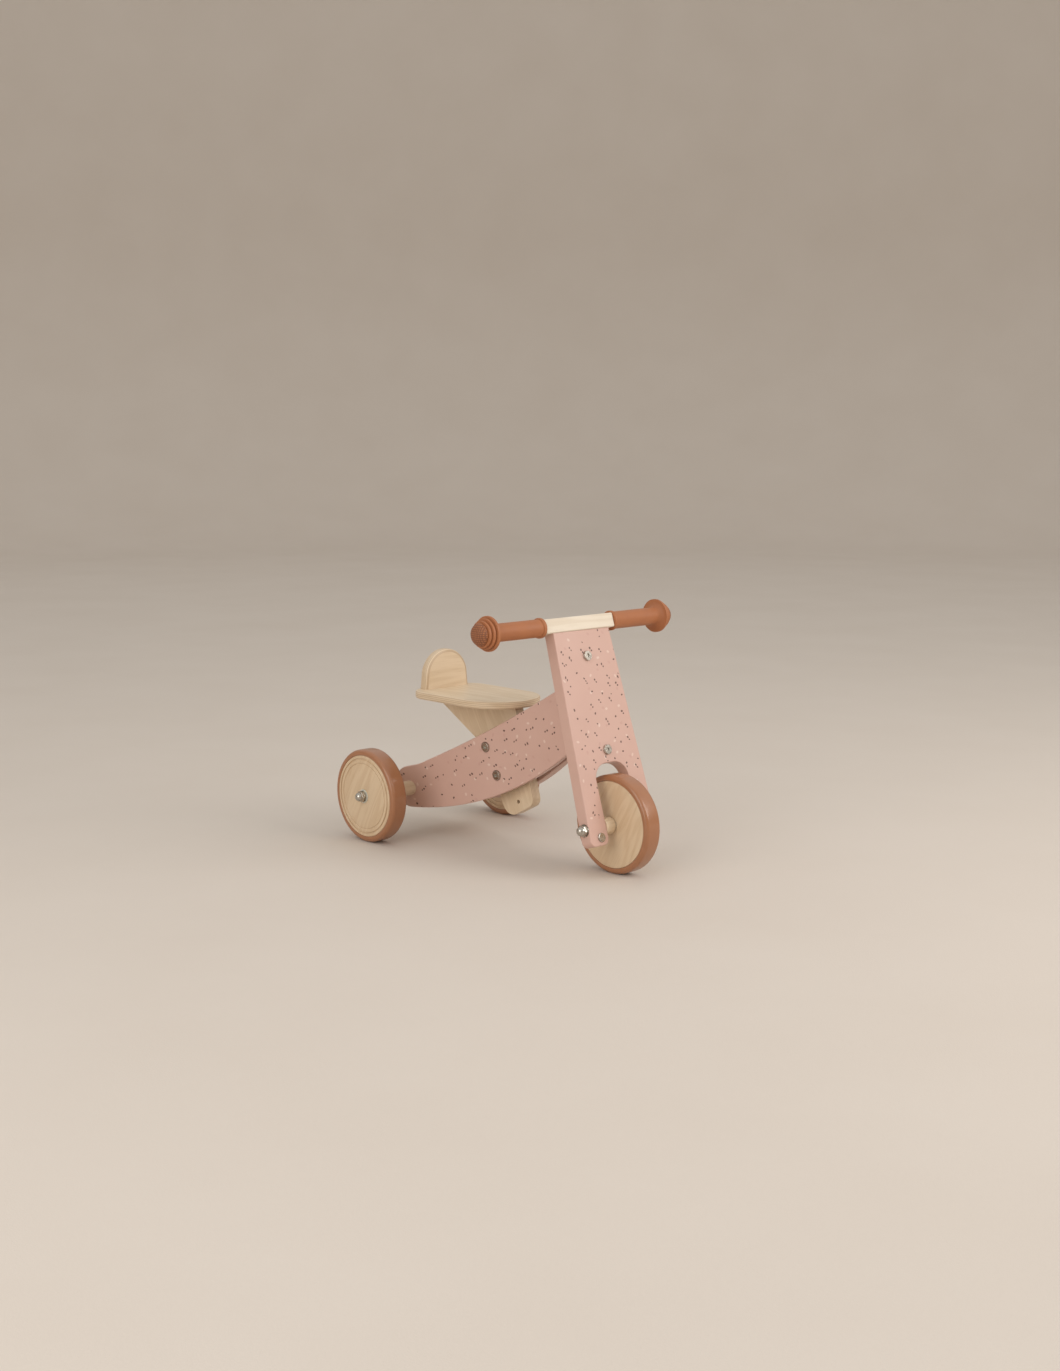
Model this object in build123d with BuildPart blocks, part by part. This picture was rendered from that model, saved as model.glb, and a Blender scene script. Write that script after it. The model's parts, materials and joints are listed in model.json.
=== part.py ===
from build123d import *
import os
from math import atan, cos, radians, sin, sqrt

os.makedirs("parts", exist_ok=True)

# Wooden children's tricycle. +X points forward, +Y to the rider's left, +Z up.
# The origin is on the floor, midway along and across the tricycle. All sizes are in mm.

# Overall
wheelbase = 411.0
rear_track = 322.0              # outer face to outer face of the rear wheels
fork_rake = 17.5                # lean of the fork panel from vertical, degrees

# Fits and small parts
glue_gap = 0.05                 # between parts that are glued or bolted together
running_gap = 0.05              # radial, between a turning part and its shaft
side_gap = 0.3                  # end play beside a turning part
bolt_clearance = 0.2            # radial, round a bolt in its hole
bolt_radius = 3.0
bolt_head_radius = 8.0
bolt_head_height = 3.6
bolt_socket_radius = 2.9
bolt_socket_depth = 2.2
bolt_head_taper = 12.0          # degrees
seat_recess_margin = 0.5        # spot-face round a bolt head
spot_face_depth = 0.4           # at its shallow edge
nut_barrel_radius = 4.0
nut_barrel_length = 10.0
nearly_square = 0.999           # cosine, for picking out a board's broad faces

# Wheels
wheel_radius = 75.0
wheel_width = 30.0
tyre_depth = 9.0
tyre_edge_round = 6.0
tyre_rib_width = 16.0
tyre_rib_depth = 3.0
disc_edge_round = 1.5
rim_groove_inset = 6.0          # from the edge of the wooden disc
rim_groove_width = 2.6
rim_groove_depth = 1.8
inner_groove_inset = 13.0
inner_groove_width = 1.6
inner_groove_depth = 0.9
bush_outer_radius = 7.5
bush_length = 12.0
bush_flange_radius = 11.0
bush_flange = 1.5

# Axles and their ends
axle_radius = 5.0
axle_washer_radius = 9.5
axle_washer = 1.6
axle_nut_flats = 16.0
axle_nut_hex = 5.0
axle_dome_radius = 7.4
axle_thread_in_nut = 8.0
axle_end_chamfer = 0.8
front_spacer_radius = 13.0
rear_spacer_radius = 12.0
spacer_edge_round = 1.5

# Fork panel
fork_thickness = 20.0
fork_over_wheel = 220.0         # panel above the tyre, along the panel
fork_bottom = 27.0              # below the axle
fork_top_half_width = 58.5
fork_bottom_half_width = 72.0
fork_slot_half_width = 34.0
fork_slot_room = 16.5           # over the tyre
fork_slot_corner = 25.0
fork_leg_corner = 10.0
fork_edge_round = 1.5
lower_bolt_over_slot = 19.5
upper_bolt_drop = 40.0          # below the panel's top edge
leg_screw_drop = 15.0           # below the axle
leg_screw_offset = 49.0         # from the centre line
leg_screw_head_radius = 7.0
leg_screw_head_height = 2.4
leg_screw_head_round = 1.2
leg_screw_radius = 2.5
leg_screw_length = 16.0

# Handlebar and grips
beam_height = 22.0
beam_depth = 22.0
beam_half_length = 72.0
beam_edge_round = 2.2
beam_end_radius = 9.8
beam_end_reach = 106.0          # turned end beyond the square middle
beam_dowel_radius = 5.0
beam_dowel_offset = 36.0
beam_dowel_in_panel = 24.0
beam_dowel_in_beam = 14.0
grip_collar_radius = 15.3
grip_collar_length = 6.0
grip_tube_radius = 13.5
grip_flare_length = 9.0
grip_flange_radius = 26.0
grip_flange_at = 103.0          # from the inner end of the grip
grip_ring_step = 5.6
grip_ring_shrink = 3.1
grip_groove_width = 1.6
grip_groove_depth = 1.8
grip_length = 130.8

# Steering head
steer_behind_panel = 18.0       # steering axis behind the panel's rear face
shaft_radius = 7.0
shaft_room = 0.4                # radial, through the head between its bushes
fork_bolt_past_axis = 3.5
lug_half_width = 15.0
lug_height = 16.0
lug_back = 20.0                 # behind the steering axis
lug_corner = 9.0
head_back = 20.0                # shoulder of the head behind the steering axis
head_bush_wall = 2.0
head_bush_length = 20.0
head_flange_radius = 12.0
thrust_washer = 1.7
tongue_half_thickness = 4.0
tongue_length = 104.0           # back from the steering axis
tongue_low = 21.0               # above the lower bolt
tongue_high = 85.0
head_dowel_radius = 4.0
head_dowel_half_length = 11.0
head_dowel_back = 62.0          # behind the steering axis
head_dowel_rises = (37.0, 69.0) # above the lower bolt
stop_radius = 14.5              # stop pin from the steering axis
stop_pin_radius = 2.0
stop_pin_in_lug = 10.0
stop_pin_proud = 7.5
stop_slot_depth = 7.0
stop_slot_gap = 0.4
steer_limit = 45.0              # each way, degrees

# Frame sides
side_thickness = 15.0
side_half_width_rear = 65.0     # outer face from the centre plane, at the rear axle
side_half_width_front = 13.025  # the same, at the head
side_head_back = 96.0           # the head, behind the front axle
side_edge_round = 1.5
side_end_radius = 34.0          # round end about the rear axle
side_end_rise = 2.0
side_end_lean = 11.0            # where the round end hands over to the top edge, degrees
side_low_mid = (-37.5, 6.0)     # lower edge: from the middle of the wheelbase, and above the axle
side_low_front = (-80.0, 106.0) # from the front axle, and above it
side_top_back = (38.0, 51.5)    # upper edge, from the rear axle
side_top_mid = (-55.5, 106.5)   # from the middle of the wheelbase
side_top_front = (-112.0, 192.0)
cross_block_half_length = 20.0
cross_block_half_height = 20.0
cross_block_round = 3.0

# Seat post, measured like the seat from a datum that keeps its place between the axles
seat_datum = -205.5             # from the middle of the wheelbase
post_thickness = 18.0
post_tilt = 27.5                # row of holes from vertical, degrees
post_bolt_at = (157.0, 86.0)    # upper bolt: from the seat datum, and above the axle
post_pitch = 24.1
post_hole_count = 5
post_bolted_holes = (0, 2)
post_end = 16.0                 # wood beyond the last hole
post_end_back = 37.0            # from the hole line to the rear edge, at the foot
post_end_front = 31.0
post_foot_back_round = 22.0
post_foot_front_round = 14.0
post_neck = (118.0, 79.0)       # likewise
post_top_back = 10.0
post_top_front = 193.0
post_tail_height = 10.0
post_edge_round = 1.2
guide_half_width = 25.0
guide_margin = 14.0             # above the upper bolt and below the lower one

# Seat
seat_over_axle = 163.0          # top face
seat_thickness = 12.0
seat_back = -2.0                # rear edge, from the seat datum
seat_front = 210.5
seat_half_width = 69.0
seat_rear_corner = 36.0
seat_edge_round = 2.5
cleat_width = 19.0
cleat_height = 8.0
cleat_back = 44.0
cleat_front = 130.0
screw_radius = 2.0
screw_head_radius = 4.0
screw_head_height = 2.2
seat_screw_length = 15.0
seat_screw_inset = 22.0
backrest_at = 3.0               # rear face, from the seat datum
backrest_thickness = 17.0
backrest_half_width = 46.5
backrest_shoulder = 19.0
backrest_shoulder_half_width = 44.0
backrest_height = 63.0
backrest_housing = 3.0          # let into the seat board
backrest_round = 5.0
backrest_screw_length = 34.0
backrest_screw_offset = 24.0

# Places worked out from the sizes
rear_x = -wheelbase / 2
front_x = rear_x + wheelbase
disc_radius = wheel_radius - tyre_depth
fork_top = wheel_radius + fork_over_wheel
fork_slot_top = wheel_radius + fork_slot_room
lower_bolt_height = fork_slot_top + lower_bolt_over_slot
upper_bolt_height = fork_top - upper_bolt_drop
steer_setback = fork_thickness / 2 + steer_behind_panel
rear_wheel_y = rear_track / 2 - wheel_width / 2
wheel_half_stack = wheel_width / 2 + bush_flange
seat_top = wheel_radius + seat_over_axle
seat_under = seat_top - seat_thickness
side_splay = (side_half_width_rear - side_half_width_front) / (wheelbase - side_head_back)
splay_angle = atan(side_splay)
side_plan_thickness = side_thickness / cos(splay_angle)
bore_radius = bolt_radius + bolt_clearance
axle_bore_radius = axle_radius + bolt_clearance

# Fork plane: local x is +Y, local y runs up the panel from the axle, and the normal points forward.
rake = radians(fork_rake)
fork_plane = Plane(origin=(front_x, 0, wheel_radius), x_dir=(0, 1, 0), z_dir=(cos(rake), 0, sin(rake)))


def on_fork(side, up, ahead=0.0):
    """Point given across, up and ahead of the middle of the fork panel."""
    return fork_plane.from_local_coords((side, up, ahead))


bar_centre = on_fork(0, fork_top + beam_height / 2)


def up_fork(height, ahead=0.0):
    """Plane across the panel's length: local x is +Y and local y points to the rear."""
    return Plane(origin=on_fork(0, height, ahead), x_dir=(0, 1, 0), z_dir=(-sin(rake), 0, cos(rake)))


def steering_station(height):
    """The same, centred on the steering axis."""
    return up_fork(height, -steer_setback)


def side_plane(y):
    """Upright plane facing the rider's right: local x is +X from the seat datum, local y is +Z."""
    return Plane(origin=(seat_datum, y, 0), x_dir=(1, 0, 0), z_dir=(0, -1, 0))


def cross_plane(x, z):
    """Upright plane that looks along +Y, centred on a cross hole."""
    return Plane(origin=(x, 0, z), x_dir=(1, 0, 0), z_dir=(0, 1, 0))


def fork_half_width(up):
    share = (up + fork_bottom) / (fork_top + fork_bottom)
    return fork_bottom_half_width + share * (fork_top_half_width - fork_bottom_half_width)


def side_outer(x):
    """Outer face of a frame side from the centre plane, at x from the rear axle."""
    return side_half_width_rear - side_splay * x


def side_inner(x):
    return side_outer(x) - side_plan_thickness


def save(piece, name):
    piece.part.label = name
    export_step(piece.part, f"parts/{name}.step")


# Wheels

def turned(profile, piece):
    """Spin a closed profile of (along, radius) points about the local X axis of the plane."""
    with BuildSketch(piece) as half:
        with BuildLine():
            Polyline(profile, close=True)
        make_face()
    revolve(half.sketch, axis=Axis(piece.origin, piece.x_dir))


def wheel_axis(x, y):
    """Plane whose local X runs along the axle (+Y), at a wheel's centre."""
    return Plane(origin=(x, y, wheel_radius), x_dir=(0, 1, 0), z_dir=(-1, 0, 0))


def broad_faces(part, normal):
    return part.faces().filter_by(lambda f: abs(f.normal_at().dot(normal)) > nearly_square)


def outer_circles(part):
    return part.edges().filter_by(GeomType.CIRCLE).group_by(SortBy.RADIUS)[-1]


def make_disc(name, x, y, grooves):
    """Turned birch disc with a rib groove for the tyre; both faces carry the same rings."""
    half = wheel_width / 2
    with BuildPart() as disc:
        with BuildSketch(cross_plane(x, wheel_radius).offset(y)):
            Circle(disc_radius)
            Circle(bush_outer_radius + glue_gap, mode=Mode.SUBTRACT)
        extrude(amount=half, both=True)
        fillet(outer_circles(disc), disc_edge_round)
        with BuildSketch(cross_plane(x, wheel_radius).offset(y)):
            Circle(disc_radius)
            Circle(disc_radius - tyre_rib_depth, mode=Mode.SUBTRACT)
        extrude(amount=tyre_rib_width / 2, both=True, mode=Mode.SUBTRACT)
        for radius, width, depth in grooves:
            for face in (-half, half):
                floor = face - depth if face > 0 else face + depth
                with BuildSketch(cross_plane(x, wheel_radius).offset(y + floor)):
                    Circle(radius + width / 2)
                    Circle(radius - width / 2, mode=Mode.SUBTRACT)
                extrude(amount=face - floor, mode=Mode.SUBTRACT)
    save(disc, name)


def make_tyre(name, x, y):
    """Solid rubber ring with round shoulders and an inner rib."""
    half = wheel_width / 2
    inner = disc_radius + glue_gap
    with BuildPart() as tyre:
        with BuildSketch(cross_plane(x, wheel_radius).offset(y)):
            Circle(wheel_radius)
            Circle(inner, mode=Mode.SUBTRACT)
        extrude(amount=half, both=True)
        fillet(outer_circles(tyre), tyre_edge_round)
        with BuildSketch(cross_plane(x, wheel_radius).offset(y)):
            Circle(inner + tyre_edge_round / 2)
            Circle(inner - tyre_rib_depth, mode=Mode.SUBTRACT)
        extrude(amount=tyre_rib_width / 2 - glue_gap, both=True)
    save(tyre, name)


def make_bushes(name, x, y):
    """Two flanged nylon bushes, one pressed in from each face of a wheel."""
    face = wheel_width / 2
    bore = axle_radius + running_gap
    with BuildPart() as bushes:
        for side in (-1, 1):
            turned([
                (side * (face - bush_length), bore),
                (side * (face + bush_flange), bore),
                (side * (face + bush_flange), bush_flange_radius),
                (side * (face + glue_gap), bush_flange_radius),
                (side * (face + glue_gap), bush_outer_radius),
                (side * (face - bush_length), bush_outer_radius),
            ], wheel_axis(x, y))
    save(bushes, name)


rim_rings = (
    (disc_radius - rim_groove_inset, rim_groove_width, rim_groove_depth),
    (disc_radius - inner_groove_inset, inner_groove_width, inner_groove_depth),
)
for side_name, side in (("left", 1), ("right", -1)):
    make_disc(f"rear_wheel_disc_{side_name}", rear_x, side * rear_wheel_y, rim_rings)
    make_tyre(f"rear_tyre_{side_name}", rear_x, side * rear_wheel_y)
    make_bushes(f"rear_bushes_{side_name}", rear_x, side * rear_wheel_y)
make_disc("front_wheel_disc", front_x, 0, ())
make_tyre("front_tyre", front_x, 0)
make_bushes("front_bushes", front_x, 0)


# Axles, washers, domed nuts, spacers

def make_axle(name, x, seat):
    """Plain rod that ends inside its two nuts; seat is where the washers' inner faces stand."""
    reach = seat + axle_washer + axle_thread_in_nut
    with BuildPart() as axle:
        with BuildSketch(cross_plane(x, wheel_radius)):
            Circle(axle_radius)
        extrude(amount=reach, both=True)
        chamfer(axle.edges(), axle_end_chamfer)
    save(axle, name)


def make_axle_washers(name, x, seat):
    with BuildPart() as washers:
        for side in (-1, 1):
            with BuildSketch(cross_plane(x, wheel_radius).offset(side * seat)):
                Circle(axle_washer_radius)
                Circle(axle_radius + glue_gap, mode=Mode.SUBTRACT)
            extrude(amount=side * axle_washer)
    save(washers, name)


def make_axle_nuts(name, x, seat):
    """Domed cap nuts: a hexagon with a blind bore under a round cap."""
    base = seat + axle_washer
    across_corners = axle_nut_flats / sqrt(3)
    with BuildPart() as nuts:
        for side in (-1, 1):
            with BuildSketch(cross_plane(x, wheel_radius).offset(side * base)):
                RegularPolygon(across_corners, 6)
            extrude(amount=side * axle_nut_hex)
            with BuildSketch(wheel_axis(x, side * (base + axle_nut_hex))):
                with BuildLine():
                    dome = CenterArc((0, 0), axle_dome_radius, 45 - 45 * side, 90)
                    Polyline(dome @ 1, (0, 0), dome @ 0)
                make_face()
            revolve(axis=Axis((x, 0, wheel_radius), (0, 1, 0)))
            with BuildSketch(cross_plane(x, wheel_radius).offset(side * base)):
                Circle(axle_radius + glue_gap)
            extrude(amount=side * (axle_thread_in_nut + glue_gap), mode=Mode.SUBTRACT)
    save(nuts, name)


front_seat = fork_half_width(axle_washer_radius) - seat_recess_margin
rear_seat = rear_track / 2 + bush_flange + side_gap
for end_name, end_x, end_seat in (("front", front_x, front_seat), ("rear", rear_x, rear_seat)):
    make_axle(f"{end_name}_axle", end_x, end_seat)
    make_axle_washers(f"{end_name}_axle_washers", end_x, end_seat)
    make_axle_nuts(f"{end_name}_axle_nuts", end_x, end_seat)

front_spacer_start = wheel_half_stack + side_gap
with BuildPart() as front_spacers:
    for side in (-1, 1):
        with BuildSketch(cross_plane(front_x, wheel_radius).offset(side * front_spacer_start)):
            Circle(front_spacer_radius)
            Circle(axle_bore_radius, mode=Mode.SUBTRACT)
        extrude(amount=side * (fork_slot_half_width - front_spacer_start))
    fillet(outer_circles(front_spacers), spacer_edge_round)
save(front_spacers, "front_spacers")

# The rear spacers end on the splayed outer faces of the frame sides.
rear_spacer_end = rear_wheel_y - wheel_half_stack - side_gap
with BuildPart() as rear_spacers:
    for side in (-1, 1):
        with BuildSketch(cross_plane(rear_x, wheel_radius).offset(side * rear_spacer_end)):
            Circle(rear_spacer_radius)
            Circle(axle_bore_radius, mode=Mode.SUBTRACT)
        extrude(amount=-side * (rear_spacer_end - side_half_width_rear / 2))
    with BuildSketch(Plane.XY):
        with BuildLine():
            Polyline(
                (rear_x - 2 * rear_spacer_radius, -side_outer(-2 * rear_spacer_radius)),
                (rear_x + 2 * rear_spacer_radius, -side_outer(2 * rear_spacer_radius)),
                (rear_x + 2 * rear_spacer_radius, side_outer(2 * rear_spacer_radius)),
                (rear_x - 2 * rear_spacer_radius, side_outer(-2 * rear_spacer_radius)),
                close=True,
            )
        make_face()
    extrude(amount=2 * wheel_radius, mode=Mode.SUBTRACT)
    fillet(outer_circles(rear_spacers), spacer_edge_round)
save(rear_spacers, "rear_spacers")


# Fork panel

bolt_heights = (lower_bolt_height, upper_bolt_height)
with BuildPart() as fork_panel:
    with BuildSketch(fork_plane) as fork_outline:
        with BuildLine():
            Polyline(
                (-fork_bottom_half_width, -fork_bottom),
                (fork_bottom_half_width, -fork_bottom),
                (fork_top_half_width, fork_top),
                (-fork_top_half_width, fork_top),
                close=True,
            )
        make_face()
        with BuildLine():
            Polyline(
                (-fork_slot_half_width, -fork_bottom),
                (-fork_slot_half_width, fork_slot_top),
                (fork_slot_half_width, fork_slot_top),
                (fork_slot_half_width, -fork_bottom),
                close=True,
            )
        make_face(mode=Mode.SUBTRACT)
        arch = fork_outline.vertices().filter_by(lambda v: abs(v.Y - fork_slot_top) < 1)
        fillet(arch, fork_slot_corner)
        feet = fork_outline.vertices().filter_by(lambda v: abs(v.Y + fork_bottom) < 1)
        fillet(feet, fork_leg_corner)
    extrude(amount=fork_thickness / 2, both=True)
    fillet(broad_faces(fork_panel, fork_plane.z_dir).edges(), fork_edge_round)
    with Locations(*[Plane(on_fork(0, h), z_dir=fork_plane.z_dir) for h in bolt_heights]):
        Hole(bore_radius)
    with Locations(Plane(on_fork(0, 0), z_dir=(0, 1, 0))):
        Hole(axle_bore_radius)
    for side in (-1, 1):
        with BuildSketch(cross_plane(front_x, wheel_radius).offset(side * front_seat)):
            Circle(axle_washer_radius + seat_recess_margin)
        extrude(amount=side * fork_thickness, mode=Mode.SUBTRACT)
    with BuildSketch(fork_plane.offset(fork_thickness / 2)):
        with Locations((-leg_screw_offset, -leg_screw_drop), (leg_screw_offset, -leg_screw_drop)):
            Circle(leg_screw_radius + glue_gap)
    extrude(amount=-leg_screw_length - glue_gap, mode=Mode.SUBTRACT)
    with BuildSketch(up_fork(fork_top)):
        with Locations((-beam_dowel_offset, 0), (beam_dowel_offset, 0)):
            Circle(beam_dowel_radius + glue_gap)
    extrude(amount=-beam_dowel_in_panel - glue_gap, mode=Mode.SUBTRACT)
save(fork_panel, "fork_panel")

with BuildPart() as leg_screws:
    for side in (-1, 1):
        with BuildSketch(fork_plane.offset(fork_thickness / 2)):
            with Locations((side * leg_screw_offset, -leg_screw_drop)):
                Circle(leg_screw_head_radius)
        extrude(amount=leg_screw_head_height)
    fillet(outer_circles(leg_screws).group_by(lambda e: e.center().dot(fork_plane.z_dir))[-1], leg_screw_head_round)
    for side in (-1, 1):
        with BuildSketch(fork_plane.offset(fork_thickness / 2)):
            with Locations((side * leg_screw_offset, -leg_screw_drop)):
                Circle(leg_screw_radius)
        extrude(amount=-leg_screw_length)
save(leg_screws, "leg_screws")


# Bolts with a socket head

def add_bolt(head_seat, direction, length):
    """Button-head bolt: the head stands on head_seat and the shank runs back from it."""
    plane = Plane(origin=head_seat, z_dir=direction)
    with BuildSketch(plane) as head:
        Circle(bolt_head_radius)
    extrude(head.sketch, amount=bolt_head_height, taper=bolt_head_taper)
    with BuildSketch(plane) as shank:
        Circle(bolt_radius)
    extrude(shank.sketch, amount=-length)
    with BuildSketch(plane.offset(bolt_head_height)) as socket:
        RegularPolygon(bolt_socket_radius, 6)
    extrude(socket.sketch, amount=-bolt_socket_depth, mode=Mode.SUBTRACT)


fork_bolt_length = fork_thickness / 2 + steer_setback + fork_bolt_past_axis
with BuildPart() as fork_bolts:
    for bolt_height in bolt_heights:
        add_bolt(on_fork(0, bolt_height, fork_thickness / 2), fork_plane.z_dir, fork_bolt_length)
save(fork_bolts, "fork_bolts")


# Handlebar and grips

with BuildPart() as handlebar:
    with BuildSketch(up_fork(fork_top)):
        Rectangle(2 * beam_half_length, beam_depth)
    extrude(amount=beam_height)
    fillet(handlebar.edges(), beam_edge_round)
    with BuildSketch(cross_plane(bar_centre.X, bar_centre.Z)):
        Circle(beam_end_radius)
    extrude(amount=beam_half_length + beam_end_reach, both=True)
    with BuildSketch(up_fork(fork_top)):
        with Locations((-beam_dowel_offset, 0), (beam_dowel_offset, 0)):
            Circle(beam_dowel_radius + glue_gap)
    extrude(amount=beam_dowel_in_beam + glue_gap, mode=Mode.SUBTRACT)
save(handlebar, "handlebar")

with BuildPart() as handlebar_dowels:
    with BuildSketch(up_fork(fork_top - beam_dowel_in_panel)):
        with Locations((-beam_dowel_offset, 0), (beam_dowel_offset, 0)):
            Circle(beam_dowel_radius)
    extrude(amount=beam_dowel_in_panel + beam_dowel_in_beam)
save(handlebar_dowels, "handlebar_dowels")


def grip_profile(side):
    """Half section of a grip: collar, tube, bell flare, ringed flange and domed end."""
    inner = beam_end_radius + glue_gap
    start = beam_half_length + glue_gap
    blind = beam_half_length + beam_end_reach + glue_gap
    flange = start + grip_flange_at
    tip = start + grip_length

    def at(along, radius):
        return (side * along, radius)

    with BuildLine() as outline:
        Polyline(
            at(blind, 0), at(blind, inner), at(start, inner), at(start, grip_collar_radius),
            at(start + grip_collar_length, grip_collar_radius),
            at(start + grip_collar_length, grip_tube_radius),
            at(flange - grip_flare_length, grip_tube_radius),
        )
        Spline(
            at(flange - grip_flare_length, grip_tube_radius), at(flange, grip_flange_radius),
            tangents=((side, 0), (0, 1)),
        )
        along = flange
        radius = grip_flange_radius
        for ring in range(3):
            neck = radius - grip_ring_shrink
            ring_end = along + grip_ring_step - grip_groove_width
            Polyline(
                at(along, radius), at(ring_end, radius), at(ring_end, neck - grip_groove_depth),
                at(along + grip_ring_step, neck - grip_groove_depth), at(along + grip_ring_step, neck),
            )
            along = along + grip_ring_step
            radius = neck
        Spline(at(along, radius), at(tip, 0), tangents=((side, 0), (0, -1)))
        Line(at(tip, 0), at(blind, 0))
    return outline.edges()


for side_name, side in (("left", 1), ("right", -1)):
    with BuildPart() as grip:
        with BuildSketch(Plane(origin=bar_centre, x_dir=(0, 1, 0), z_dir=(-1, 0, 0))):
            make_face(grip_profile(side))
        revolve(axis=Axis(bar_centre, (0, 1, 0)))
    save(grip, f"grip_{side_name}")


# Steering

shaft_bottom = lower_bolt_height - lug_height / 2
shaft_top = upper_bolt_height + lug_height / 2
head_bottom = lower_bolt_height + lug_height / 2 + thrust_washer + side_gap + bush_flange
head_top = upper_bolt_height - lug_height / 2 - thrust_washer - side_gap - bush_flange
lug_front = steer_setback - fork_thickness / 2

with BuildPart() as steering_shaft:
    with BuildSketch(steering_station(shaft_bottom)):
        Circle(shaft_radius)
    extrude(amount=shaft_top - shaft_bottom)
    with Locations(*[Plane(on_fork(0, h, -steer_setback), z_dir=fork_plane.z_dir) for h in bolt_heights]):
        Hole(bolt_radius + glue_gap)
save(steering_shaft, "steering_shaft")

for lug_name, lug_centre in (("lower", lower_bolt_height), ("upper", upper_bolt_height)):
    with BuildPart() as lug:
        with BuildSketch(steering_station(lug_centre - lug_height / 2)) as lug_section:
            with Locations((0, (lug_back - lug_front) / 2)):
                Rectangle(2 * lug_half_width, lug_front + lug_back)
            fillet(lug_section.vertices().sort_by(Axis.Y)[-2:], lug_corner)
            Circle(shaft_radius + glue_gap, mode=Mode.SUBTRACT)
        extrude(amount=lug_height)
        with BuildSketch(fork_plane.offset(-steer_setback)):
            with Locations((0, lug_centre)):
                Circle(bore_radius)
        extrude(amount=steer_setback, mode=Mode.SUBTRACT)
        if lug_name == "lower":
            with BuildSketch(steering_station(lug_centre + lug_height / 2)):
                with Locations((0, stop_radius)):
                    Circle(stop_pin_radius + glue_gap)
            extrude(amount=-stop_pin_in_lug - glue_gap, mode=Mode.SUBTRACT)
    save(lug, f"steering_lug_{lug_name}")

with BuildPart() as thrust_washers:
    for washer_bottom in (shaft_bottom + lug_height, shaft_top - lug_height - thrust_washer):
        with BuildSketch(steering_station(washer_bottom)):
            Circle(head_flange_radius)
            Circle(shaft_radius + glue_gap, mode=Mode.SUBTRACT)
        extrude(amount=thrust_washer)
save(thrust_washers, "thrust_washers")

with BuildPart() as steering_stop_pin:
    with BuildSketch(steering_station(shaft_bottom + lug_height - stop_pin_in_lug)):
        with Locations((0, stop_radius)):
            Circle(stop_pin_radius)
    extrude(amount=stop_pin_in_lug + stop_pin_proud)
save(steering_stop_pin, "steering_stop_pin")

# Head block: a round-nosed column on the steering axis, and a tongue between the frame sides.
tongue_meet = (side_half_width_rear - side_plan_thickness - tongue_half_thickness) / side_splay
beside_fork = Plane(origin=on_fork(0, 0), x_dir=fork_plane.z_dir, z_dir=(0, -1, 0))
bush_bore = shaft_radius + head_bush_wall
stop_track = stop_pin_radius + stop_slot_gap
head_dowel_heights = [lower_bolt_height + rise for rise in head_dowel_rises]

with BuildPart() as head_block:
    with BuildSketch(Plane.XY):
        with BuildLine():
            Polyline(
                (rear_x, side_inner(0) - glue_gap),
                (rear_x + tongue_meet, tongue_half_thickness - glue_gap),
                (front_x, tongue_half_thickness - glue_gap),
                (front_x, glue_gap - tongue_half_thickness),
                (rear_x + tongue_meet, glue_gap - tongue_half_thickness),
                (rear_x, glue_gap - side_inner(0)),
                close=True,
            )
        make_face()
    extrude(amount=fork_top)
    with BuildSketch(beside_fork):
        with Locations((-steer_setback - tongue_length / 2, lower_bolt_height + (tongue_low + tongue_high) / 2)):
            Rectangle(tongue_length, tongue_high - tongue_low)
    extrude(amount=side_half_width_rear, both=True, mode=Mode.INTERSECT)
    with BuildSketch(steering_station(head_bottom)):
        Circle(lug_half_width)
        with Locations((0, head_back / 2)):
            Rectangle(2 * lug_half_width, head_back)
    extrude(amount=head_top - head_bottom)
    with BuildSketch(steering_station(head_bottom)):
        Circle(shaft_radius + shaft_room)
    extrude(amount=head_top - head_bottom, mode=Mode.SUBTRACT)
    for mouth, inwards in ((head_bottom, 1), (head_top, -1)):
        with BuildSketch(steering_station(mouth)):
            Circle(bush_bore + glue_gap)
        extrude(amount=inwards * (head_bush_length + glue_gap), mode=Mode.SUBTRACT)
    with BuildSketch(steering_station(head_bottom)):
        with BuildLine():
            stop_arc = CenterArc((0, 0), stop_radius, 90 - steer_limit, 2 * steer_limit)
        SlotArc(stop_arc, 2 * stop_track)
    extrude(amount=stop_slot_depth, mode=Mode.SUBTRACT)
    with BuildSketch(beside_fork):
        with Locations(*[(-steer_setback - head_dowel_back, h) for h in head_dowel_heights]):
            Circle(head_dowel_radius + glue_gap)
    extrude(amount=side_half_width_rear, both=True, mode=Mode.SUBTRACT)
save(head_block, "head_block")

with BuildPart() as head_bushes:
    for mouth, inwards in ((head_bottom, 1), (head_top, -1)):
        with BuildSketch(steering_station(mouth)):
            Circle(bush_bore)
            Circle(shaft_radius + running_gap, mode=Mode.SUBTRACT)
        extrude(amount=inwards * head_bush_length)
        with BuildSketch(steering_station(mouth)):
            Circle(head_flange_radius)
            Circle(shaft_radius + running_gap, mode=Mode.SUBTRACT)
        extrude(amount=-inwards * bush_flange)
save(head_bushes, "head_bushes")

with BuildPart() as head_dowels:
    with BuildSketch(beside_fork):
        with Locations(*[(-steer_setback - head_dowel_back, h) for h in head_dowel_heights]):
            Circle(head_dowel_radius)
    extrude(amount=head_dowel_half_length, both=True)
save(head_dowels, "head_dowels")


# Frame sides

def along_board(point, axle_x=rear_x):
    """A point given from an axle or the middle, as measured on the splayed board."""
    return ((axle_x - rear_x + point[0]) / cos(splay_angle), wheel_radius + point[1])


low_front = along_board(side_low_front, front_x)
top_front = along_board(side_top_front, front_x)


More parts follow.
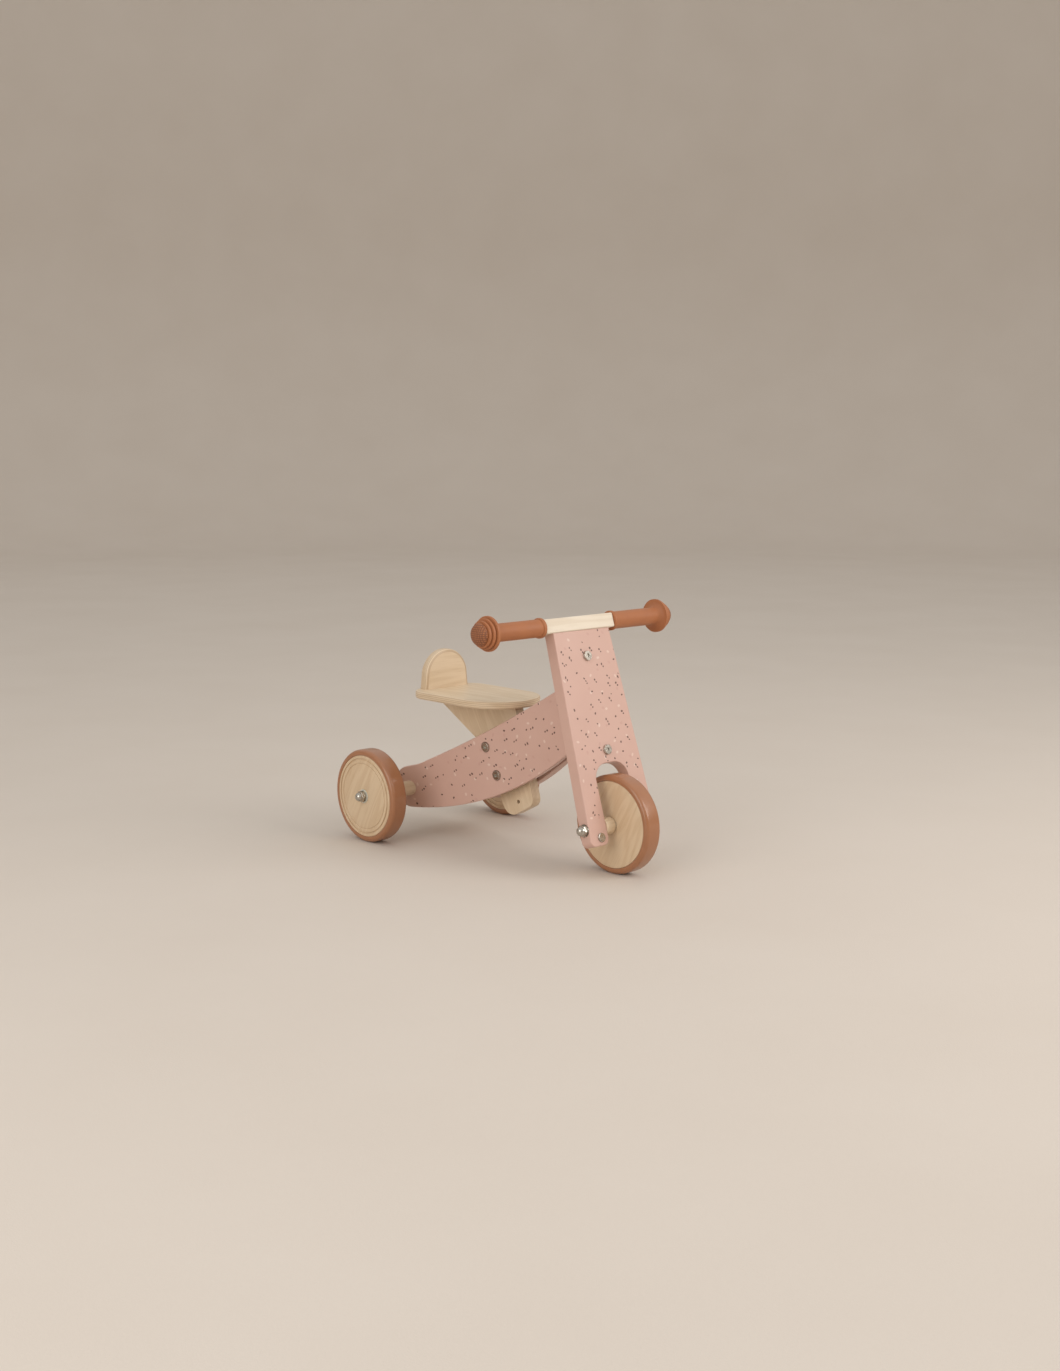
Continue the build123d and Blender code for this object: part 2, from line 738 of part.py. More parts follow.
post_row = [
    (
        post_bolt_at[0] + hole * post_pitch * sin(radians(post_tilt)),
        wheel_radius + post_bolt_at[1] - hole * post_pitch * cos(radians(post_tilt)),
    )
    for hole in range(post_hole_count)
]
bolted = [post_row[hole] for hole in post_bolted_holes]
side_board = Plane(
    origin=(rear_x, -side_half_width_rear, 0),
    x_dir=(cos(splay_angle), sin(splay_angle), 0),
    z_dir=(sin(splay_angle), -cos(splay_angle), 0),
)
shoulder = steer_setback + head_back
head_seat_margin = bolt_head_radius + seat_recess_margin


def bolt_seat(x):
    """Distance from the centre plane to the spot-face of a post bolt at x from the seat datum."""
    return side_outer(seat_datum - rear_x + x + head_seat_margin) - spot_face_depth


with BuildPart() as frame_side_right:
    with BuildSketch(side_board):
        with BuildLine():
            end_centre = (0, wheel_radius + side_end_rise)
            round_end = CenterArc(end_centre, side_end_radius, 90 + side_end_lean, 180 - side_end_lean)
            ThreePointArc(round_end @ 1, along_board(side_low_mid, 0), low_front)
            Line(low_front, top_front)
            ThreePointArc(top_front, along_board(side_top_mid, 0), along_board(side_top_back))
            TangentArc(round_end @ 0, along_board(side_top_back), tangent=-(round_end % 0))
        make_face()
    extrude(amount=-side_thickness)
    fillet(broad_faces(frame_side_right, side_board.z_dir).edges(), side_edge_round)
    with BuildSketch(beside_fork):
        with Locations((-shoulder, 0)):
            Rectangle(2 * shoulder, 2 * fork_top, align=(Align.MIN, Align.CENTER))
    extrude(amount=side_half_width_rear, both=True, mode=Mode.SUBTRACT)
    with BuildSketch(Plane.XY):
        with Locations((0, -tongue_half_thickness)):
            Rectangle(2 * wheelbase, side_half_width_rear, align=(Align.CENTER, Align.MIN))
    extrude(amount=fork_top, mode=Mode.SUBTRACT)
    with Locations(Plane((rear_x, 0, wheel_radius), z_dir=(0, 1, 0))):
        Hole(axle_bore_radius)
    for x, z in bolted:
        with Locations(Plane((seat_datum + x, 0, z), z_dir=(0, 1, 0))):
            Hole(bore_radius)
        with BuildSketch(side_plane(-bolt_seat(x))):
            with Locations((x, z)):
                Circle(head_seat_margin)
        extrude(amount=side_thickness, mode=Mode.SUBTRACT)
    with BuildSketch(beside_fork):
        with Locations(*[(-steer_setback - head_dowel_back, h) for h in head_dowel_heights]):
            Circle(head_dowel_radius + glue_gap)
    extrude(amount=head_dowel_half_length + glue_gap, mode=Mode.SUBTRACT)
save(frame_side_right, "frame_side_right")

with BuildPart() as frame_side_left:
    mirror(frame_side_right.part, about=Plane.XZ)
    for x, z in bolted:
        with BuildSketch(side_plane(bolt_seat(x))):
            with Locations((x, z)):
                Circle(nut_barrel_radius + bolt_clearance)
        extrude(amount=nut_barrel_length + side_gap, mode=Mode.SUBTRACT)
save(frame_side_left, "frame_side_left")

with BuildPart() as rear_cross_block:
    with BuildSketch(Plane.XY.offset(wheel_radius - cross_block_half_height)):
        with BuildLine():
            behind = -cross_block_half_length
            ahead = cross_block_half_length
            Polyline(
                (rear_x + behind, glue_gap - side_inner(behind)),
                (rear_x + ahead, glue_gap - side_inner(ahead)),
                (rear_x + ahead, side_inner(ahead) - glue_gap),
                (rear_x + behind, side_inner(behind) - glue_gap),
                close=True,
            )
        make_face()
    extrude(amount=2 * cross_block_half_height)
    fillet(rear_cross_block.edges().filter_by(Axis.Y), cross_block_round)
    with Locations(Plane((rear_x, 0, wheel_radius), z_dir=(0, 1, 0))):
        Hole(axle_bore_radius)
save(rear_cross_block, "rear_cross_block")


# Seat post and its clamp

post_down = (sin(radians(post_tilt)), -cos(radians(post_tilt)))


def post_point(along, across):
    """Point on the post: along its row of holes from the upper bolt, and across towards the front."""
    return (
        post_bolt_at[0] + along * post_down[0] - across * post_down[1],
        wheel_radius + post_bolt_at[1] + along * post_down[1] + across * post_down[0],
    )


post_foot = (post_hole_count - 1) * post_pitch + post_end
with BuildPart() as seat_post:
    with BuildSketch(side_plane(0)) as post_outline:
        with BuildLine():
            Polyline(
                (post_top_back, seat_under),
                (post_top_back, seat_under - post_tail_height),
                (post_neck[0], wheel_radius + post_neck[1]),
                post_point(post_foot, -post_end_back),
                post_point(post_foot, post_end_front),
                (post_top_front, seat_under),
                close=True,
            )
        make_face()
        fillet(post_outline.vertices().sort_by(Axis.Y)[0], post_foot_back_round)
        fillet(post_outline.vertices().sort_by(Axis.X)[-1], post_foot_front_round)
    extrude(amount=post_thickness / 2, both=True)
    rims = seat_post.faces().filter_by(Axis.Y).edges().filter_by(lambda e: e.center().Z < seat_under - 1)
    fillet(rims, post_edge_round)
    with Locations(*[Plane((seat_datum + x, 0, z), z_dir=(0, 1, 0)) for x, z in post_row]):
        Hole(bore_radius)
save(seat_post, "seat_post")

near = post_thickness / 2 + glue_gap
row_middle = (post_bolted_holes[0] + post_bolted_holes[-1]) * post_pitch / 2
row_length = (post_bolted_holes[-1] - post_bolted_holes[0]) * post_pitch
for side_name, side in (("left", 1), ("right", -1)):
    with BuildPart() as post_guide:
        with BuildSketch(side_plane(0)):
            with Locations(Location(post_point(row_middle, 0), post_tilt)):
                Rectangle(2 * guide_half_width, row_length + 2 * guide_margin)
        extrude(amount=side_half_width_rear, both=True)
        with BuildSketch(Plane.XY):
            with BuildLine():
                Polyline(
                    (rear_x, side * near),
                    (rear_x + (side_half_width_rear - side_plan_thickness - near) / side_splay, side * near),
                    (rear_x, side * (side_inner(0) - glue_gap)),
                    close=True,
                )
            make_face()
        extrude(amount=seat_top, mode=Mode.INTERSECT)
        with Locations(*[Plane((seat_datum + x, 0, z), z_dir=(0, 1, 0)) for x, z in bolted]):
            Hole(bore_radius)
    save(post_guide, f"post_guide_{side_name}")

# Bolts from the rider's right, sleeve nuts from the left, heads on the spot-faces.
with BuildPart() as post_bolts:
    for x, z in bolted:
        grip_length_of_bolt = 2 * bolt_seat(x) - side_gap
        add_bolt((seat_datum + x, -bolt_seat(x), z), (0, -1, 0), grip_length_of_bolt)
save(post_bolts, "post_bolts")

with BuildPart() as post_nuts:
    for x, z in bolted:
        nut_plane = Plane(origin=(seat_datum + x, bolt_seat(x), z), z_dir=(0, 1, 0))
        with BuildSketch(nut_plane):
            Circle(bolt_head_radius)
        extrude(amount=bolt_head_height, taper=bolt_head_taper)
        with BuildSketch(nut_plane):
            Circle(nut_barrel_radius)
        extrude(amount=-nut_barrel_length)
        with BuildSketch(nut_plane):
            Circle(bolt_radius + glue_gap)
        extrude(amount=-nut_barrel_length, mode=Mode.SUBTRACT)
        with BuildSketch(nut_plane.offset(bolt_head_height)):
            RegularPolygon(bolt_socket_radius, 6)
        extrude(amount=-bolt_socket_depth, mode=Mode.SUBTRACT)
save(post_nuts, "post_nuts")


# Seat

def seat_plane(z):
    """Level plane with its origin over the seat datum."""
    return Plane.XY.offset(z).move(Location((seat_datum, 0, 0)))


seat_nose = seat_front - seat_half_width
cleat_middle = (cleat_back + cleat_front) / 2
cleat_y = post_thickness / 2 + glue_gap + cleat_width / 2
seat_screw_places = [(x, side * cleat_y) for x in (cleat_back + seat_screw_inset, cleat_front - seat_screw_inset)
                     for side in (-1, 1)]
backrest_middle = backrest_at + backrest_thickness / 2
backrest_screw_places = [(backrest_middle, side * backrest_screw_offset) for side in (-1, 1)]


def add_screws(places, underside, length):
    """Flat-headed wood screws that point up, heads flush with the underside."""
    for place in places:
        base = Plane(origin=(seat_datum + place[0], place[1], underside))
        with BuildSketch(base) as head:
            Circle(screw_head_radius)
        extrude(head.sketch, amount=screw_head_height)
        with BuildSketch(base) as shank:
            Circle(screw_radius)
        extrude(shank.sketch, amount=length)


def cut_screw_ways(places, underside, length):
    """Room for those screws: a head recess, then a pilot hole."""
    for place in places:
        base = Plane(origin=(seat_datum + place[0], place[1], underside))
        with BuildSketch(base) as recess:
            Circle(screw_head_radius + glue_gap)
        extrude(recess.sketch, amount=screw_head_height + glue_gap, mode=Mode.SUBTRACT)
        with BuildSketch(base) as pilot:
            Circle(screw_radius + glue_gap)
        extrude(pilot.sketch, amount=length + glue_gap, mode=Mode.SUBTRACT)


with BuildPart() as seat_board:
    with BuildSketch(seat_plane(seat_under)) as seat_outline:
        with BuildLine():
            Line((seat_nose, seat_half_width), (seat_back, seat_half_width))
            Line((seat_back, seat_half_width), (seat_back, -seat_half_width))
            Line((seat_back, -seat_half_width), (seat_nose, -seat_half_width))
            ThreePointArc((seat_nose, -seat_half_width), (seat_front, 0), (seat_nose, seat_half_width))
        make_face()
        fillet(seat_outline.vertices().sort_by(Axis.X)[:2], seat_rear_corner)
    extrude(amount=seat_thickness)
    fillet(seat_board.faces().filter_by(Axis.Z).edges(), seat_edge_round)
    with BuildSketch(seat_plane(seat_top)) as housing:
        with Locations((backrest_middle, 0)):
            Rectangle(backrest_thickness + 2 * glue_gap, 2 * (backrest_half_width + glue_gap))
        fillet(housing.vertices(), backrest_round)
    extrude(amount=-backrest_housing - glue_gap, mode=Mode.SUBTRACT)
    cut_screw_ways(backrest_screw_places, seat_under, backrest_screw_length)
    cut_screw_ways(seat_screw_places, seat_under - cleat_height, seat_screw_length)
save(seat_board, "seat_board")

for side_name, side in (("left", 1), ("right", -1)):
    with BuildPart() as seat_cleat:
        with BuildSketch(seat_plane(seat_under - cleat_height)):
            with Locations((cleat_middle, side * cleat_y)):
                Rectangle(cleat_front - cleat_back, cleat_width)
        extrude(amount=cleat_height)
        chamfer(seat_cleat.faces().sort_by(Axis.Z)[0].edges(), post_edge_round)
        cut_screw_ways([p for p in seat_screw_places if p[1] * side > 0], seat_under - cleat_height, seat_screw_length)
    save(seat_cleat, f"seat_cleat_{side_name}")

with BuildPart() as seat_screws:
    add_screws(seat_screw_places, seat_under - cleat_height, seat_screw_length)
save(seat_screws, "seat_screws")

with BuildPart() as backrest:
    with BuildSketch(Plane(origin=(seat_datum + backrest_at, 0, seat_top), x_dir=(0, 1, 0), z_dir=(1, 0, 0))):
        with BuildLine():
            foot_left = (-backrest_half_width, -backrest_housing)
            foot_right = (backrest_half_width, -backrest_housing)
            shoulder_left = (-backrest_shoulder_half_width, backrest_shoulder)
            shoulder_right = (backrest_shoulder_half_width, backrest_shoulder)
            Line(foot_left, foot_right)
            Line(foot_right, shoulder_right)
            ThreePointArc(shoulder_right, (0, backrest_height), shoulder_left)
            Line(shoulder_left, foot_left)
        make_face()
    extrude(amount=backrest_thickness)
    rims = backrest.faces().filter_by(Axis.X).edges().filter_by(lambda e: e.center().Z > seat_top)
    fillet(rims, backrest_round)
    cut_screw_ways(backrest_screw_places, seat_under, backrest_screw_length)
save(backrest, "backrest")

with BuildPart() as backrest_screws:
    add_screws(backrest_screw_places, seat_under, backrest_screw_length)
save(backrest_screws, "backrest_screws")
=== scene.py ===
import json
from math import cos, pi, radians, sin

import bmesh
import bpy
from mathutils import Matrix, Vector


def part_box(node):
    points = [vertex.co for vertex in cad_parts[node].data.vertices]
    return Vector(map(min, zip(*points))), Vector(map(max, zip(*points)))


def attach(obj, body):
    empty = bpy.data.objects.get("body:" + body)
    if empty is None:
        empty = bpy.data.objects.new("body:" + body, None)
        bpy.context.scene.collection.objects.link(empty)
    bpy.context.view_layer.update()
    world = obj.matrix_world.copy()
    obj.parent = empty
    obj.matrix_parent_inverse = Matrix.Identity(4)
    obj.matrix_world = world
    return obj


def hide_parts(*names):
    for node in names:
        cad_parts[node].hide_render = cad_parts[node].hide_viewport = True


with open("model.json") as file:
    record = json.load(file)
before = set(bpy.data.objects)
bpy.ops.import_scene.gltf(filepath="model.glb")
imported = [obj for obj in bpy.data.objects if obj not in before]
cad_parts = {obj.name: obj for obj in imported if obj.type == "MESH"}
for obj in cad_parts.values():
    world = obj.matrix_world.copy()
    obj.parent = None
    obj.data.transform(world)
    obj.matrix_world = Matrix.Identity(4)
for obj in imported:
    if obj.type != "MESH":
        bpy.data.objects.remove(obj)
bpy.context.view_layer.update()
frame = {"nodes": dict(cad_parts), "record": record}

scene = bpy.context.scene
mm = 0.001
bodyOf = {node: body for body, nodes in frame["record"]["behaviour"]["bodies"].items() for node in nodes}
steeringAxis = Vector(frame["record"]["behaviour"]["joints"][0]["axis"]).normalized()
print("frame loaded:", len(bodyOf), "nodes")


# Colours are written as sRGB hex and turned to linear here

def toLinear(hexCode):
    parts = [int(hexCode[i:i + 2], 16) / 255 for i in (1, 3, 5)]
    return [p / 12.92 if p <= 0.04045 else ((p + 0.055) / 1.055) ** 2.4 for p in parts] + [1.0]


# Inputs are keyed by socket name or number, and take a value, a socket or a node (its first output)

def addNode(tree, kind, settings=None, inputs=None):
    node = tree.nodes.new(kind)
    for name, value in (settings or {}).items():
        setattr(node, name, value)
    for name, value in (inputs or {}).items():
        if isinstance(value, bpy.types.Node):
            value = value.outputs[0]
        if isinstance(value, bpy.types.NodeSocket):
            tree.links.new(value, node.inputs[name])
        else:
            node.inputs[name].default_value = value
    return node


def startMaterial(name, shaderInputs):
    material = bpy.data.materials.new(name)
    material.use_nodes = True
    tree = material.node_tree
    tree.nodes.clear()
    shader = addNode(tree, "ShaderNodeBsdfPrincipled", {}, shaderInputs)
    addNode(tree, "ShaderNodeOutputMaterial", {}, {"Surface": shader})
    return material, tree, shader


def finishShader(tree, shader, colour, roughness, height, depth, strength=1.0):
    bump = addNode(tree, "ShaderNodeBump", {}, {"Height": height, "Distance": depth, "Strength": strength})
    tree.links.new(colour.outputs[0], shader.inputs["Base Color"])
    tree.links.new(roughness.outputs[0], shader.inputs["Roughness"])
    tree.links.new(bump.outputs[0], shader.inputs["Normal"])


# Marks scattered over a board: one irregular oval in some of the cells, each turned its own way, and the
# rows of cells drift so that no two neighbours repeat

def scatterMarks(tree, place, look):
    shifted = addNode(tree, "ShaderNodeVectorMath", {"operation": "ADD"}, {0: place, 1: look["shift"]})
    drift = addNode(tree, "ShaderNodeTexNoise", {}, {"Vector": shifted, "Scale": 1 / 28, "Detail": 0.0})
    moved = addNode(tree, "ShaderNodeVectorMath", {"operation": "MULTIPLY_ADD"},
                    {0: drift.outputs["Color"], 1: (look["drift"], look["drift"], 0), 2: shifted})
    cells = addNode(tree, "ShaderNodeTexVoronoi", {"voronoi_dimensions": "2D"},
                    {"Vector": moved, "Scale": 1 / look["spacing"], "Randomness": 0.75})
    chance = addNode(tree, "ShaderNodeSeparateColor", {}, {0: cells.outputs["Color"]})
    fromCentre = addNode(tree, "ShaderNodeVectorMath", {"operation": "SUBTRACT"},
                         {0: moved, 1: cells.outputs["Position"]})
    angle = addNode(tree, "ShaderNodeMath", {"operation": "MULTIPLY"}, {0: chance.outputs[0], 1: 2 * pi})
    turned = addNode(tree, "ShaderNodeVectorRotate", {"rotation_type": "Z_AXIS"},
                     {"Vector": fromCentre, "Angle": angle})
    oval = addNode(tree, "ShaderNodeVectorMath", {"operation": "MULTIPLY"},
                   {0: turned, 1: (2 / look["length"], 2 / look["width"], 0)})
    reach = addNode(tree, "ShaderNodeVectorMath", {"operation": "LENGTH"}, {0: oval})
    ragged = addNode(tree, "ShaderNodeTexNoise", {},
                     {"Vector": moved, "Scale": 1.2 / look["length"], "Detail": 1.0})
    edge = addNode(tree, "ShaderNodeMath", {"operation": "MULTIPLY_ADD"},
                   {0: ragged.outputs[0], 1: look["ragged"], 2: reach.outputs["Value"]})
    inside = addNode(tree, "ShaderNodeMapRange", {},
                     {"Value": edge, "From Min": 1.0 + look["ragged"] / 2,
                      "From Max": 0.8 + look["ragged"] / 2})
    picked = addNode(tree, "ShaderNodeMath", {"operation": "LESS_THAN"},
                     {0: chance.outputs[1], 1: look["share"]})
    return addNode(tree, "ShaderNodeMath", {"operation": "MULTIPLY"}, {0: inside, 1: picked})


# Satin lacquer over plywood, sprayed and screen printed: an even pale pink, a faint orange peel,
# and small marks in white, rose and dark brown on the broad faces only
pinkLook = {
    "pink": "#d4afa1",
    "pinkWorn": "#cba597",
    "white": "#e6cfc3",
    "rose": "#c79c90",
    "brown": "#583a31",
    "inkStrength": {"white": 0.6, "rose": 0.6, "brown": 0.95},
    "roughness": 0.42,
    "peelSize": 1.6,            # mm
    "peelDepth": 0.03,          # mm
    "plySpacing": 1.4,          # mm, plies that show faintly through the paint on the edges
    "prints": [                 # mm; share of the cells that carry a mark, and how far the rows drift
        ("white", {"shift": (3, 8, 0), "spacing": 26, "length": 6.0, "width": 4.0,
                  "share": 0.5, "ragged": 0.9, "drift": 4}),
        ("rose", {"shift": (51, 17, 0), "spacing": 29, "length": 6.6, "width": 4.4,
                 "share": 0.45, "ragged": 0.9, "drift": 4}),
        ("brown", {"shift": (20, 33, 0), "spacing": 21, "length": 4.0, "width": 3.1,
                  "share": 0.75, "ragged": 0.7, "drift": 9}),
        ("brown", {"shift": (24, 30.5, 0), "spacing": 21, "length": 3.3, "width": 2.6,
                  "share": 0.5, "ragged": 0.7, "drift": 9}),
        ("brown", {"shift": (18, 77, 0), "spacing": 34, "length": 3.0, "width": 2.3,
                  "share": 0.6, "ragged": 0.7, "drift": 9}),
    ],
}


def paintedPly(name, printed):
    material, tree, shader = startMaterial(name, {"IOR": 1.5, "Coat Weight": 0.25, "Coat Roughness": 0.3})
    board = addNode(tree, "ShaderNodeUVMap", {"uv_map": "board"})
    place = addNode(tree, "ShaderNodeVectorMath", {"operation": "SCALE"}, {0: board, "Scale": 1 / mm})
    cloud = addNode(tree, "ShaderNodeTexNoise", {}, {"Vector": place, "Scale": 1 / 60, "Detail": 3.0})
    colour = addNode(tree, "ShaderNodeMixRGB", {},
                     {"Fac": cloud.outputs[0], "Color1": toLinear(pinkLook["pink"]),
                      "Color2": toLinear(pinkLook["pinkWorn"])})
    if printed:
        for ink, look in pinkLook["prints"]:
            mask = scatterMarks(tree, place, look)
            strength = addNode(tree, "ShaderNodeMath", {"operation": "MULTIPLY"},
                               {0: mask, 1: pinkLook["inkStrength"][ink]})
            colour = addNode(tree, "ShaderNodeMixRGB", {},
                             {"Fac": strength, "Color1": colour, "Color2": toLinear(pinkLook[ink])})
    peel = addNode(tree, "ShaderNodeTexNoise", {},
                   {"Vector": place, "Scale": 1 / pinkLook["peelSize"], "Detail": 2.0})
    height = peel
    if not printed:
        plies = addNode(tree, "ShaderNodeTexWave", {"bands_direction": "Y"},
                        {"Vector": place, "Scale": pi / 10 / pinkLook["plySpacing"] / 2, "Distortion": 0.6})
        height = addNode(tree, "ShaderNodeMath", {"operation": "MULTIPLY_ADD"},
                         {0: plies.outputs[1], 1: 0.8, 2: peel.outputs[0]})
    gloss = addNode(tree, "ShaderNodeMapRange", {},
                    {"Value": cloud.outputs[0], "To Min": pinkLook["roughness"] - 0.05,
                     "To Max": pinkLook["roughness"] + 0.08})
    finishShader(tree, shader, colour, gloss, height, pinkLook["peelDepth"] * mm)
    return material


# Wood: place runs along the grain in X, in metres. Rings are wide wavy bands and fibres fine streaks

def woodGrain(tree, place, look):
    figure = addNode(tree, "ShaderNodeVectorMath", {"operation": "MULTIPLY"},
                     {0: place, 1: (1 / look["ringRun"], 1 / look["ringWidth"], 1 / look["ringWidth"])})
    wander = addNode(tree, "ShaderNodeTexNoise", {},
                     {"Vector": figure, "Scale": 1000.0, "Detail": 2.0, "Distortion": 0.4})
    turns = addNode(tree, "ShaderNodeMath", {"operation": "MULTIPLY"},
                    {0: wander.outputs[0], 1: look["rings"] * 2 * pi})
    wave = addNode(tree, "ShaderNodeMath", {"operation": "SINE"}, {0: turns})
    rings = addNode(tree, "ShaderNodeMapRange", {"interpolation_type": "SMOOTHSTEP"},
                    {"Value": wave, "From Min": -1.0, "From Max": 1.0})
    streaks = addNode(tree, "ShaderNodeVectorMath", {"operation": "MULTIPLY"},
                      {0: place, 1: (1 / look["fibreRun"], 1 / look["fibreWidth"], 1 / look["fibreWidth"])})
    fibres = addNode(tree, "ShaderNodeTexNoise", {}, {"Vector": streaks, "Scale": 1000.0, "Detail": 3.0})
    flecks = addNode(tree, "ShaderNodeMapRange", {},
                     {"Value": fibres.outputs[0], "From Min": 0.6, "From Max": 0.72})
    share = addNode(tree, "ShaderNodeMath", {"operation": "MULTIPLY"}, {0: rings, 1: look["ringShare"]})
    share = addNode(tree, "ShaderNodeMath", {"operation": "MULTIPLY_ADD"},
                    {0: fibres.outputs[0], 1: look["fibreShare"], 2: share})
    share = addNode(tree, "ShaderNodeMath", {"operation": "MULTIPLY_ADD", "use_clamp": True},
                    {0: flecks, 1: look["fleckShare"], 2: share})
    return share, fibres


# Birch: pale cream with soft golden figure and short brown flecks, under a clear satin lacquer
birchLook = {
    "light": "#e4d0b4",
    "dark": "#cab08c",
    "plyDark": "#9d7d5b",
    "roughness": 0.4,
    "ringRun": 240, "ringWidth": 26, "rings": 5,                # mm, mm, bands across one swell
    "fibreRun": 34, "fibreWidth": 1.7,                          # mm, coarser than real ones so that they show
    "ringShare": 0.28, "fibreShare": 0.3, "fleckShare": 0.25,
    "plyThickness": 1.4,                                        # mm
    "grainDepth": 0.05,                                         # mm
}
# Turned birch shows more figure across its faces than a veneer does
turnedBirchLook = dict(birchLook, light="#dcc5a6", dark="#c2a27c", ringWidth=30, ringRun=200, rings=6)
# Handlebar beam: a whiter, finer wood with a dry oiled surface
beamLook = dict(birchLook, light="#eadfcd", dark="#d2c1a8", roughness=0.55, ringShare=0.3, fibreWidth=1.2,
                fibreShare=0.25, fleckShare=0.12)


def woodMaterial(name, look, grain=None):
    material, tree, shader = startMaterial(name, {"IOR": 1.5, "Coat Weight": 0.2, "Coat Roughness": 0.25})
    if grain is None:
        place = addNode(tree, "ShaderNodeUVMap", {"uv_map": "board"})
    else:
        object3d = addNode(tree, "ShaderNodeTexCoord")
        place = addNode(tree, "ShaderNodeMapping", {},
                        {"Vector": object3d.outputs["Object"], "Rotation": grain})
    share, fibres = woodGrain(tree, place, look)
    colour = addNode(tree, "ShaderNodeMixRGB", {},
                     {"Fac": share, "Color1": toLinear(look["light"]), "Color2": toLinear(look["dark"])})
    gloss = addNode(tree, "ShaderNodeMapRange", {},
                    {"Value": share, "To Min": look["roughness"] - 0.04,
                     "To Max": look["roughness"] + 0.12})
    finishShader(tree, shader, colour, gloss, fibres, look["grainDepth"] * mm)
    return material


# Cut edge of birch plywood: thin light plies between darker end-grain ones

def plyEdgeMaterial(name, look):
    material, tree, shader = startMaterial(name, {"IOR": 1.5, "Coat Weight": 0.15, "Coat Roughness": 0.3})
    board = addNode(tree, "ShaderNodeUVMap", {"uv_map": "board"})
    place = addNode(tree, "ShaderNodeVectorMath", {"operation": "SCALE"}, {0: board, "Scale": 1 / mm})
    plies = addNode(tree, "ShaderNodeTexWave", {"bands_direction": "Y"},
                    {"Vector": place, "Scale": pi / 10 / look["plyThickness"] / 2, "Distortion": 0.25,
                     "Detail": 1.0, "Detail Scale": 0.2})
    share, fibres = woodGrain(tree, board, look)
    cream = addNode(tree, "ShaderNodeMixRGB", {},
                    {"Fac": share, "Color1": toLinear(look["light"]), "Color2": toLinear(look["dark"])})
    banding = addNode(tree, "ShaderNodeMapRange", {"interpolation_type": "SMOOTHSTEP"},
                      {"Value": plies.outputs[1], "From Min": 0.35, "From Max": 0.65, "To Max": 0.42})
    colour = addNode(tree, "ShaderNodeMixRGB", {},
                     {"Fac": banding, "Color1": cream, "Color2": toLinear(look["plyDark"])})
    gloss = addNode(tree, "ShaderNodeMapRange", {},
                    {"Value": plies.outputs[1], "To Min": look["roughness"],
                     "To Max": look["roughness"] + 0.15})
    finishShader(tree, shader, colour, gloss, fibres, look["grainDepth"] * mm)
    return material


# Moulded solid rubber: even terracotta; the grips are dry with a fine pore, the tyres have a glossier skin
gripLook = {"colour": "#a1613a", "bloom": "#b3744a", "roughness": 0.58, "coat": 0.05, "coatRoughness": 0.35,
            "bloomSize": 22, "poreSize": 1.1, "poreDepth": 0.05}    # mm
tyreLook = {"colour": "#9b6542", "bloom": "#a9744f", "roughness": 0.36, "coat": 0.5, "coatRoughness": 0.12,
            "bloomSize": 22, "poreSize": 1.8, "poreDepth": 0.04}
# Checked pattern on the grips' end domes, mm, beyond this distance from the middle; its grooves are darkened
# towards the dark colour as painted shade
domeGrid = {"from": 192.4, "pitch": 3.0, "depth": 0.5, "shade": 0.7, "colour": "#5c3322"}


